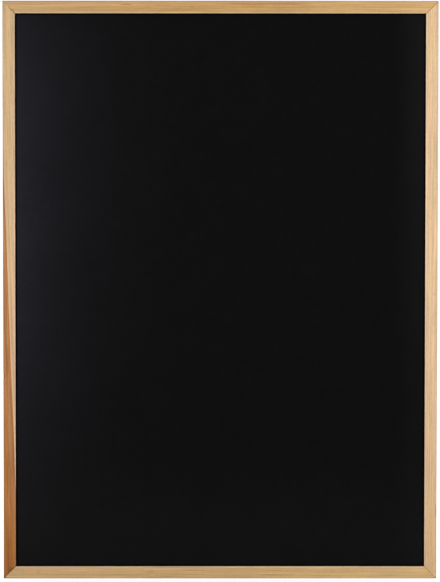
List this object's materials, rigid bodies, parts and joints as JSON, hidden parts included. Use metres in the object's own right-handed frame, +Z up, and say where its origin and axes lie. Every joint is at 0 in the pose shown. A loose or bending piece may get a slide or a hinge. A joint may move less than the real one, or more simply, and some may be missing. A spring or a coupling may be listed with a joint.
{
  "type": "slate writing board",
  "caption": "Upright wall writing board: a matte black panel held in the groove of a mitred pine frame, with swinging D-ring hangers and rubber bumpers on the back.",
  "frame": {"origin": "on the wall plane, behind the middle of the board's width and height", "axes": "+Z up along the board's height, +X to the right seen from the front, +Y into the wall, so the writing face looks along -Y"},
  "size_m": [0.6, 0.02, 0.8],
  "materials": {
    "pine": "bare planed pine, satin",
    "two_tone_pine": "bare planed pine with a wedge of dark heartwood",
    "hardboard": "raw brown hardboard, screen-textured back",
    "chalk_black": "matte black writing coat",
    "zinc_steel": "zinc plated",
    "nail_steel": "plain steel strip",
    "bumper_rubber": "soft matte rubber"
  },
  "bodies": {
    "board": {"top_rail": "pine", "bottom_rail": "pine", "left_stile": "two_tone_pine", "right_stile": "pine", "panel_core": "hardboard", "writing_face": "chalk_black", "v_nails_top_left": "nail_steel", "v_nails_top_right": "nail_steel", "v_nails_bottom_left": "nail_steel", "v_nails_bottom_right": "nail_steel", "left_hanger_strap": "zinc_steel", "left_hanger_screw": "zinc_steel", "right_hanger_strap": "zinc_steel", "right_hanger_screw": "zinc_steel", "left_bumper": "bumper_rubber", "right_bumper": "bumper_rubber"},
    "left_ring": {"left_hanger_ring": "zinc_steel"},
    "right_ring": {"right_hanger_ring": "zinc_steel"}
  },
  "joints": [
    {"name": "left_ring_swing", "type": "hinge", "parent": "board", "child": "left_ring", "pos_m": [-0.2915, -0.0029, 0.24], "axis": [1, 0, 0], "range_deg": [0, 184]},
    {"name": "right_ring_swing", "type": "hinge", "parent": "board", "child": "right_ring", "pos_m": [0.2915, -0.0029, 0.24], "axis": [1, 0, 0], "range_deg": [0, 184]}
  ]
}
